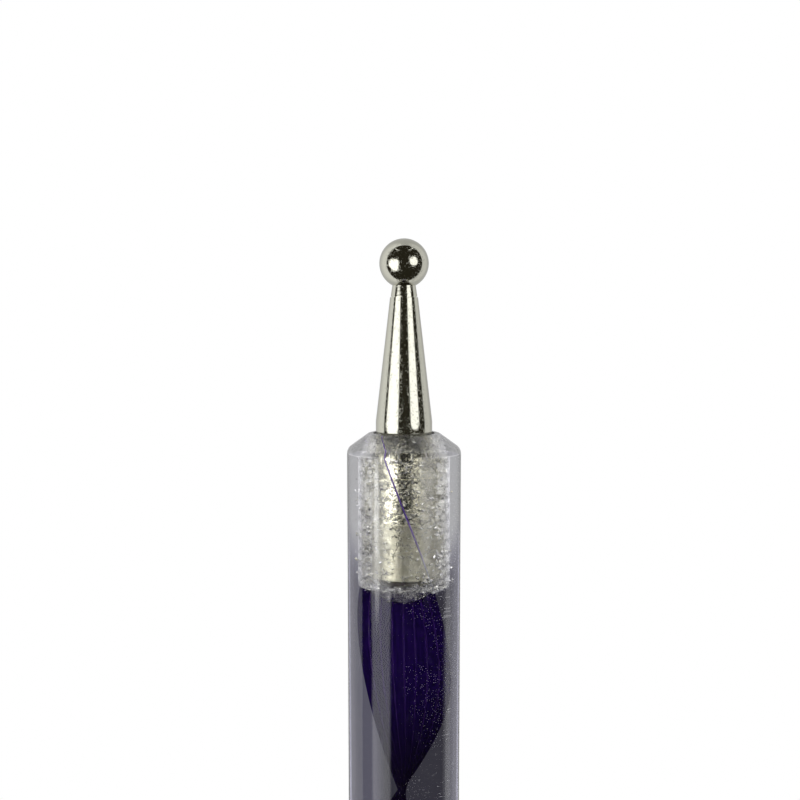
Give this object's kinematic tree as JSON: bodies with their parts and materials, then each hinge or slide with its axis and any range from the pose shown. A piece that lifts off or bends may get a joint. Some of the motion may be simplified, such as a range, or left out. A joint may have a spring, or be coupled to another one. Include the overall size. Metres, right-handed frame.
{
  "type": "embossing stylus",
  "caption": "Double-ended ball stylus for embossing and dotting: nickel-plated ball tips glued in a clear acrylic rod with a twisted violet ribbon inside.",
  "frame": {"origin": "middle of the handle rod, on the tool's axis", "axes": "+Z along the axis towards the large ball; the ribbon's flat side faces Y at z 39.5 mm"},
  "size_m": [0.007, 0.007, 0.1291],
  "materials": {
    "clear_acrylic": "polished clear acrylic",
    "violet_swirl": "violet pigmented acrylic strand",
    "nickel_plate": "bright nickel plate on turned metal",
    "clear_adhesive": "cured clear adhesive with bubbles"
  },
  "bodies": {
    "root": {"handle_rod": "clear_acrylic", "swirl_stripe_1": "violet_swirl", "swirl_stripe_2": "violet_swirl", "swirl_stripe_3": "violet_swirl", "swirl_stripe_4": "violet_swirl", "swirl_stripe_5": "violet_swirl", "swirl_stripe_6": "violet_swirl", "swirl_stripe_7": "violet_swirl", "swirl_stripe_8": "violet_swirl", "large_tip_cone": "nickel_plate", "large_ball_tip": "nickel_plate", "large_tip_adhesive": "clear_adhesive", "small_tip_cone": "nickel_plate", "small_ball_tip": "nickel_plate", "small_tip_adhesive": "clear_adhesive"}
  },
  "joints": []
}
